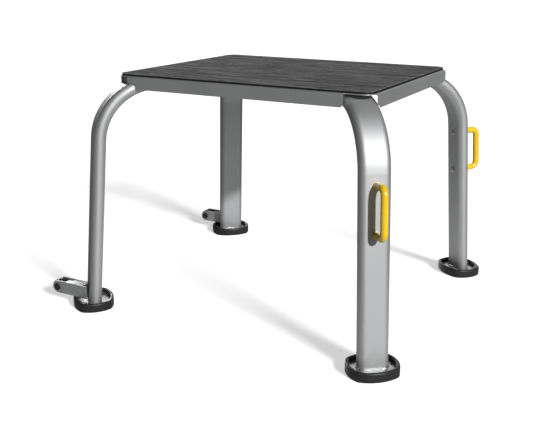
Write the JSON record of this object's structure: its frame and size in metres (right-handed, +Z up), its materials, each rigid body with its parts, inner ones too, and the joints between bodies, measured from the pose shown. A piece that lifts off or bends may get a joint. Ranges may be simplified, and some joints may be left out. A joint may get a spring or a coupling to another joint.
{
  "type": "mounting block",
  "caption": "Raised mounting block: a ribbed tread deck on splayed flat-oval tube legs with rubber boots, yellow grab handles and small transport wheels.",
  "frame": {"origin": "on the floor, under the middle of the overall box", "axes": "+X along the deck's long edge from the wheels to the handles, +Y to the back, +Z up"},
  "size_m": [1.3214, 1.1348, 0.828],
  "materials": {
    "tread_rubber": "matt, ribbed",
    "silver_paint": "satin metallic powder coat",
    "boot_rubber": "moulded, satin",
    "yellow_grip": "gloss",
    "zinc_steel": "bright zinc",
    "black_steel": "black oxide",
    "wheel_nylon": "moulded",
    "wheel_rubber": "satin"
  },
  "bodies": {
    "root": {"tread_mat": "tread_rubber", "deck_tray": "silver_paint", "spine_beam": "silver_paint", "deck_screws": "zinc_steel", "threaded_inserts": "zinc_steel", "leg_tube_front_left": "silver_paint", "base_plate_front_left": "silver_paint", "rubber_boot_front_left": "boot_rubber", "leg_tube_front_right": "silver_paint", "base_plate_front_right": "silver_paint", "rubber_boot_front_right": "boot_rubber", "leg_tube_back_left": "silver_paint", "base_plate_back_left": "silver_paint", "rubber_boot_back_left": "boot_rubber", "leg_tube_back_right": "silver_paint", "base_plate_back_right": "silver_paint", "rubber_boot_back_right": "boot_rubber", "fork_plate_front_a": "silver_paint", "fork_plate_front_b": "silver_paint", "axle_bolt_front": "black_steel", "axle_nut_front": "black_steel", "axle_washers_front": "black_steel", "wheel_sleeve_front": "zinc_steel", "handle_grip_front": "yellow_grip", "handle_core_front": "zinc_steel", "handle_bolts_front": "zinc_steel", "handle_washers_front": "zinc_steel", "fork_plate_back_a": "silver_paint", "fork_plate_back_b": "silver_paint", "axle_bolt_back": "black_steel", "axle_nut_back": "black_steel", "axle_washers_back": "black_steel", "wheel_sleeve_back": "zinc_steel", "handle_grip_back": "yellow_grip", "handle_core_back": "zinc_steel", "handle_bolts_back": "zinc_steel", "handle_washers_back": "zinc_steel"},
    "wheel_front": {"wheel_core_front": "wheel_nylon", "wheel_tread_front": "wheel_rubber"},
    "wheel_back": {"wheel_core_back": "wheel_nylon", "wheel_tread_back": "wheel_rubber"}
  },
  "joints": [
    {"name": "wheel_front_spin", "type": "hinge", "parent": "root", "child": "wheel_front", "pos_m": [-0.6357, -0.50035, 0.057], "axis": [0, 1, 0], "continuous": true},
    {"name": "wheel_back_spin", "type": "hinge", "parent": "root", "child": "wheel_back", "pos_m": [-0.6357, 0.50035, 0.057], "axis": [0, 1, 0], "continuous": true}
  ]
}
